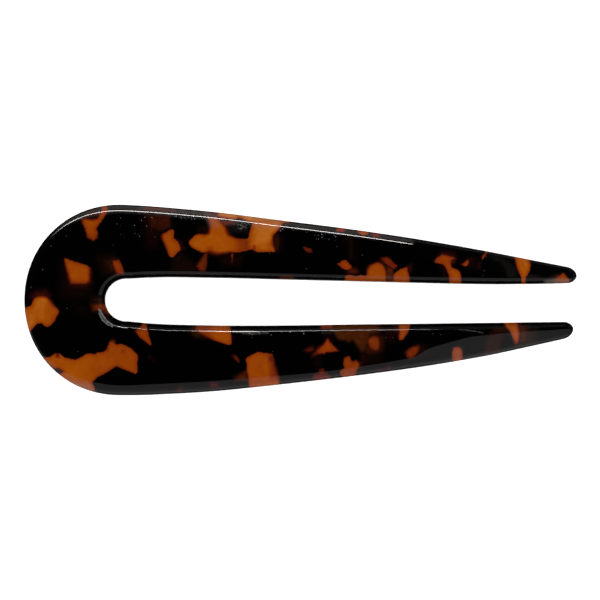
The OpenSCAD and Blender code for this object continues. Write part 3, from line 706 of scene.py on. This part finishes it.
class Nodes:
    """A short way to lay out and join the nodes of one tree."""

    def __init__(self, owner):
        owner.use_nodes = True
        self.tree = owner.node_tree
        self.tree.nodes.clear()

    def add(self, kind, **settings):
        node = self.tree.nodes.new(kind)
        for key, setting in settings.items():
            setattr(node, key, setting)
        return node

    def feed(self, target, what):
        if isinstance(what, bpy.types.NodeSocket):
            self.tree.links.new(what, target)
        elif what is not None:
            target.default_value = what

    def math(self, operation, a, b=None, c=None, clamp=False):
        node = self.add("ShaderNodeMath", operation=operation, use_clamp=clamp)
        for socket, what in zip(node.inputs, (a, b, c)):
            self.feed(socket, what)
        return node.outputs[0]

    def vector(self, operation, a, b=None, scale=None):
        node = self.add("ShaderNodeVectorMath", operation=operation)
        self.feed(node.inputs[0], a)
        self.feed(node.inputs[1], b)
        if operation == "SCALE":
            self.feed(node.inputs["Scale"], scale)
        return node.outputs["Value" if operation in ("DISTANCE", "DOT_PRODUCT") else "Vector"]

    def split(self, what):
        node = self.add("ShaderNodeSeparateXYZ")
        self.feed(node.inputs[0], what)
        return node.outputs

    def spread(self, what, low, high, to_low=0.0, to_high=1.0):
        """A smooth change from one value at low to another at high."""
        node = self.add("ShaderNodeMapRange", interpolation_type="SMOOTHSTEP")
        for socket, put in zip(node.inputs[:5], (what, low, high, to_low, to_high)):
            self.feed(socket, put)
        return node.outputs[0]

    def fade(self, what, low, high, top=1.0):
        """The reverse of spread: the top value up to low, and nothing from high on."""
        return self.spread(what, low, high, top, 0.0)

    def swing(self, what, width):
        """A value from 0 to 1 made to swing by half the width to either side of nothing."""
        return self.math("MULTIPLY_ADD", what, width, -width / 2)

    def noise(self, place, scale, detail, rough):
        node = self.add("ShaderNodeTexNoise")
        self.feed(node.inputs["Vector"], place)
        self.feed(node.inputs["Scale"], scale)
        self.feed(node.inputs["Detail"], detail)
        self.feed(node.inputs["Roughness"], rough)
        return node.outputs["Fac"]

    def mix(self, share, a, b, blend="MIX"):
        node = self.add("ShaderNodeMix", data_type="RGBA", blend_type=blend)
        self.feed(node.inputs["Factor"], share)
        self.feed(node.inputs[6], a)
        self.feed(node.inputs[7], b)
        return node.outputs[2]

    def ramp(self, what, stops):
        node = self.add("ShaderNodeValToRGB")
        while len(node.color_ramp.elements) < len(stops):
            node.color_ramp.elements.new(0.5)
        for element, (place, colour) in zip(node.color_ramp.elements, stops):
            element.position = place
            element.color = colour
        self.feed(node.inputs[0], what)
        return node.outputs[0]

    def attribute(self, name):
        return self.add("ShaderNodeAttribute", attribute_name=name).outputs["Fac"]


# Light of the world and the sun, and what reaches the object of both, which its colours allow for
WORLD_LEVEL = 1.5
SUN_LEVEL = 3.6
SUN_DEGREES = 70
LIGHT_LEVEL = 2.6
# The shell's colour by its glow, in 8-bit values as they show under that light
SHELL_STOPS = (
    (0.0, (1, 1, 1)), (0.1, (15, 4, 3)), (0.22, (43, 10, 4)), (0.34, (70, 19, 6)),
    (0.5, (106, 33, 8)), (0.6, (120, 43, 7)), (0.7, (134, 52, 5)), (0.8, (145, 62, 4)),
    (0.9, (156, 73, 3)), (1.0, (175, 95, 25)),
)
# Past full glow the colour turns to a paler amber
PALE_AMBER = (222, 165, 100)
PALE_GLOW = (1.0, 1.4)
WHITE = (1.0, 1.0, 1.0, 1.0)
RED_TINT = (1.0, 0.5, 2.2, 1.0)
OLIVE_TINT = (0.75, 2.1, 1.1, 1.0)
# Colour of the pale films and the painted sheen
FILM_AND_SHEEN_RGB = (132, 122, 112)
# Colour of the painted glints on worn polish
WEAR_GLINT_RGB = (140, 143, 150)
# Colour of the painted highlight streaks
HIGHLIGHT_RGB = (165, 162, 162)
DUST_RGB = (120, 120, 125)
# How wide noise swings an edge, in millimetres: of flecks and dots, and of the painted highlight streaks
RAGGED = 0.4
STREAK_RAGGED = 0.34
# How much the glow drifts inside a fleck, and how the shades are mottled
GLOW_DRIFT = 0.16
MOTTLING = (0.86, 1.08)
# Painted glint dots: where they end and how much smaller some are, in millimetres, and their strength
DOTS_PER_MM = 2.8
DOT_ENDS = (0.05, 0.16)
DOT_SHRINKS = 0.1
DOT_STRENGTH = 0.85
# Painted highlight streaks: where they end in half widths, how they are broken, and how far up they fade in
STREAK_ENDS = (0.2, 1.6)
STREAK_BREAKS = (0.35, 1.0)
STREAK_FADES = 0.5
# Specks: where they end in radii, their strength and roughness, and how level what holds them is
SPECK_ENDS = (0.3, 1.2)
SPECK_STRENGTH = 0.5
SPECK_ROUGH = 0.3
SPECK_LEVEL = (0.5, 0.9)
# Polish: roughness, the heights of slow and fine waves in millimetres, and refractive index
ROUGH = (0.03, 0.06)
WAVES = (0.02, 0.0012)
INDEX = 1.49


def shell_material():
    material = bpy.data.materials.new("tortoiseshell")
    n = Nodes(material)
    coord = n.add("ShaderNodeTexCoord").outputs["Object"]
    # In millimetres, so a noise's scale counts its waves to a millimetre
    place = n.vector("SCALE", coord, scale=1 / MM)

    # Fleck edges, broken a little by a fine noise that is the same size on soft and sharp ones
    ragged = n.noise(place, 1.8, 3.0, 0.6)
    jitter = n.math("DIVIDE", n.swing(ragged, RAGGED), n.attribute("blur"))
    cover = n.spread(n.math("ADD", n.attribute("edge"), jitter), *ACROSS)

    # Brightness inside a fleck drifts a little, as pigment does in a cast sheet
    drift = n.noise(place, 0.35, 2.0, 0.5)
    cloud = n.noise(place, 1.1, 3.0, 0.55)
    glow = n.math("MULTIPLY_ADD", drift, GLOW_DRIFT, n.attribute("glow"))
    glow = n.math("MULTIPLY_ADD", cloud, GLOW_DRIFT, glow)
    glow = n.math("SUBTRACT", glow, GLOW_DRIFT)
    glow = n.math("MULTIPLY", glow, n.math("SUBTRACT", 1.0, n.attribute("spot")))
    lit = n.math("MULTIPLY", cover, glow)
    haze = n.math("MULTIPLY", n.attribute("shade"), n.spread(cloud, 0.3, 0.7, *MOTTLING))
    lit = n.math("MAXIMUM", lit, haze)
    colour = n.ramp(lit, [(at, linear(c)) for at, c in SHELL_STOPS])
    colour = n.mix(n.spread(lit, *PALE_GLOW), colour, linear(PALE_AMBER))

    # Reds and olives by the chart's tint, and the pale film, partly painted sheen
    tint = n.attribute("tint")
    red = n.mix(n.math("MAXIMUM", tint, 0.0), WHITE, RED_TINT)
    olive = n.mix(n.math("MAXIMUM", n.math("MULTIPLY", tint, -1.0), 0.0), WHITE, OLIVE_TINT)
    colour = n.mix(1.0, n.mix(1.0, colour, red, "MULTIPLY"), olive, "MULTIPLY")
    colour = n.mix(n.attribute("film_and_sheen"), colour, linear(FILM_AND_SHEEN_RGB))

    # Painted glints on worn polish: fine pale dots, each cell of a mosaic holds one, or none
    flat = n.vector("MULTIPLY", place, (1.0, 1.0, 0.0))
    ragged_speck = n.swing(n.noise(place, 7.0, 1.0, 0.5), RAGGED)
    cell = n.add("ShaderNodeTexVoronoi")
    n.feed(cell.inputs["Vector"], flat)
    n.feed(cell.inputs["Scale"], DOTS_PER_MM)
    chance = n.split(cell.outputs["Color"])
    away = n.math("ADD", n.math("DIVIDE", cell.outputs["Distance"], DOTS_PER_MM), ragged_speck)
    away = n.math("MULTIPLY_ADD", chance[1], DOT_SHRINKS, away)
    glinting = n.math("LESS_THAN", chance[0], n.attribute("wear_glint"))
    glint_dots = n.math("MULTIPLY", n.fade(away, *DOT_ENDS), glinting)
    colour = n.mix(n.math("MULTIPLY", glint_dots, DOT_STRENGTH), colour, linear(WEAR_GLINT_RGB))

    # Painted highlights: thin bright streaks where the polish mirrors the lamp, partly over real scuffs
    fray = n.swing(n.noise(place, 4.0, 2.0, 0.6), STREAK_RAGGED)
    full, gone = STREAK_ENDS
    painted_glint = 0.0
    for strength, half_width, path in HIGHLIGHT_STREAKS:
        for a, b in zip(path, path[1:]):
            start = (a[0], a[1] - CHART_AHEAD, 0.0)
            step = (b[0] - a[0], b[1] - a[1], 0.0)
            beyond = n.vector("SUBTRACT", flat, start)
            share = n.vector("DOT_PRODUCT", beyond, step)
            share = n.math("DIVIDE", share, step[0] ** 2 + step[1] ** 2, clamp=True)
            away = n.vector("DISTANCE", beyond, n.vector("SCALE", step, scale=share))
            away = n.math("ADD", away, fray)
            line = n.fade(away, full * half_width, gone * half_width, strength)
            painted_glint = n.math("MAXIMUM", painted_glint, line)
    broken = n.spread(n.noise(place, 3.4, 2.0, 0.6), 0.38, 0.58, *STREAK_BREAKS)
    painted_glint = n.math("MULTIPLY", painted_glint, broken)
    above = n.spread(n.split(place)[2], mid_z, mid_z + STREAK_FADES)
    colour = n.mix(n.math("MULTIPLY", painted_glint, above), colour, linear(HIGHLIGHT_RGB))

    # Specks of dust on what faces up
    speck = 0.0
    full, gone = SPECK_ENDS
    for x, y, radius, strength in SPECKS:
        away = n.vector("DISTANCE", flat, (x, y - CHART_AHEAD, 0.0))
        away = n.math("ADD", away, ragged_speck)
        speck = n.math("MAXIMUM", speck, n.fade(away, radius * full, radius * gone, strength))
    upward = n.split(n.add("ShaderNodeNewGeometry").outputs["Normal"])[2]
    speck = n.math("MULTIPLY", speck, n.spread(upward, *SPECK_LEVEL))
    colour = n.mix(n.math("MULTIPLY", speck, SPECK_STRENGTH), colour, linear(DUST_RGB))

    # Polish: hardly any haze, with faint rub marks
    rub = n.noise(place, 5.0, 4.0, 0.6)
    rough = n.math("MULTIPLY_ADD", speck, SPECK_ROUGH, n.spread(rub, 0.3, 0.8, *ROUGH))
    wave = n.noise(place, 0.5, 1.0, 0.4)
    fine = n.noise(place, 3.0, 2.0, 0.5)
    height = n.math("MULTIPLY_ADD", wave, WAVES[0], n.math("MULTIPLY", fine, WAVES[1]))
    bump = n.add("ShaderNodeBump")
    bump.inputs["Strength"].default_value = 0.5
    bump.inputs["Distance"].default_value = MM
    n.feed(bump.inputs["Height"], height)

    shader = n.add("ShaderNodeBsdfPrincipled")
    n.feed(shader.inputs["Base Color"], colour)
    n.feed(shader.inputs["Roughness"], rough)
    n.feed(shader.inputs["Normal"], bump.outputs[0])
    shader.inputs["IOR"].default_value = INDEX
    n.feed(n.add("ShaderNodeOutputMaterial").inputs[0], shader.outputs[0])
    return material


def floor_material():
    material = bpy.data.materials.new("floor")
    n = Nodes(material)
    grain = n.noise(n.add("ShaderNodeTexCoord").outputs["Object"], 40.0, 2.0, 0.5)
    shader = n.add("ShaderNodeBsdfPrincipled")
    colour = n.ramp(grain, [(0.0, (0.83, 0.83, 0.83, 1)), (1.0, (0.87, 0.87, 0.87, 1))])
    n.feed(shader.inputs["Base Color"], colour)
    shader.inputs["Roughness"].default_value = 0.9
    shader.inputs["Specular IOR Level"].default_value = 0.0
    n.feed(n.add("ShaderNodeOutputMaterial").inputs[0], shader.outputs[0])
    return material


# The piece
def make_hairpin():
    points, faces = hairpin_mesh()
    mesh = bpy.data.meshes.new("hairpin_shell")
    mesh.from_pydata((points * MM).tolist(), [], faces)
    mesh.update()
    for name, field in pattern_fields(points).items():
        layer = mesh.attributes.new(name, "FLOAT", "POINT")
        layer.data.foreach_set("value", field.astype(np.float32))
    mesh.shade_smooth()
    mesh.materials.append(shell_material())
    piece = add_object("hairpin_shell", mesh)
    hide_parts("hairpin")
    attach(piece, "root")


# Stage
def make_floor():
    radius = 5.0
    steps = 96
    mesh = bpy.data.meshes.new("floor")
    turns = [2 * math.pi * i / steps for i in range(steps)]
    ring = [(radius * math.cos(turn), radius * math.sin(turn), 0.0) for turn in turns]
    mesh.from_pydata(ring, [], [tuple(range(steps))])
    mesh.materials.append(floor_material())
    floor = add_object("floor", mesh)
    floor.visible_glossy = False


# What the polish mirrors, by direction. Each row: height above the horizon and bearing from +X,
# both in degrees as where it starts, is full, starts to fade and ends; brightness; and colour.
PALE_WARM = (1.0, 0.93, 0.88)
FAINT_RED = (1.0, 0.94, 0.94)
LAMP = (1.0, 0.95, 0.93)
PLAIN = (1.0, 1.0, 1.0)
FAR = (78.4, 80.2, 105, 145)
FAR_LAMP = (77.1, 77.9, 117, 145)
FAR_TIP = (60, 66, 77.8, 79.6)
TIP_END = (-8, 0, 60, 66)
NEAR = (-148, -138, -14, -8)
LEFT = (-180, -166, -148, -138)
LAMP_LEVEL = 95.0
SURROUNDINGS = (
    ((-17, -15, 4, 6), FAR, 0.58, PALE_WARM),
    ((-17, -15, -7, -5), FAR_TIP, 0.13, PALE_WARM),
    ((-17, -15, 28, 32), TIP_END, 0.12, PLAIN),
    ((4, 6, 46, 48), FAR, 0.09, PLAIN),
    ((47.5, 49, 56, 57.5), FAR_LAMP, LAMP_LEVEL, LAMP),
    ((57.5, 60, 66, 75), FAR_LAMP, 0.6, LAMP),
    ((-15, -13, 78, 80), NEAR, 0.4, FAINT_RED),
    ((-14, -12.5, -11, -3), NEAR, 0.32, PLAIN),
    ((-64, -60, -42, -38), NEAR, 0.75, PLAIN),
    ((-64, -54, -8, 2), LEFT, 0.28, PLAIN),
    ((-90, -89, 82, 86), (-180, -179, 179, 180), 0.008, PLAIN),
)


def make_world():
    world = bpy.data.worlds.new("studio")
    bpy.context.scene.world = world
    n = Nodes(world)
    x, y, z = n.split(n.add("ShaderNodeTexCoord").outputs["Generated"])
    height = n.math("DEGREES", n.math("ARCSINE", z))
    bearing = n.math("DEGREES", n.math("ARCTAN2", y, x))
    mirrored = (0.0, 0.0, 0.0)
    for heights, bearings, level, colour in SURROUNDINGS:
        share = 1.0
        for angle, (start, full, fade, end) in ((height, heights), (bearing, bearings)):
            share = n.math("MULTIPLY", share, n.spread(angle, start, full))
            share = n.math("MULTIPLY", share, n.fade(angle, fade, end))
        glare = n.vector("SCALE", tuple(level * c for c in colour), scale=share)
        mirrored = n.vector("ADD", glare, mirrored)
    ray = n.add("ShaderNodeLightPath").outputs
    first = n.math("SUBTRACT", 1.0, ray["Diffuse Depth"], clamp=True)
    mirror = n.math("MULTIPLY", ray["Is Glossy Ray"], first)
    background = n.add("ShaderNodeBackground")
    even = (WORLD_LEVEL, WORLD_LEVEL, WORLD_LEVEL, 1.0)
    n.feed(background.inputs["Color"], n.mix(mirror, even, mirrored))
    n.feed(n.add("ShaderNodeOutputWorld").inputs[0], background.outputs[0])


def make_sun():
    sun = bpy.data.lights.new("overhead", "SUN")
    sun.energy = SUN_LEVEL
    sun.angle = math.radians(SUN_DEGREES)
    overhead = add_object("overhead", sun)
    overhead.location = (0.0, 0.0, 2.0)
    overhead.visible_glossy = False


make_camera()
make_hairpin()
make_floor()
make_world()
make_sun()
bpy.context.scene.view_settings.view_transform = "Standard"
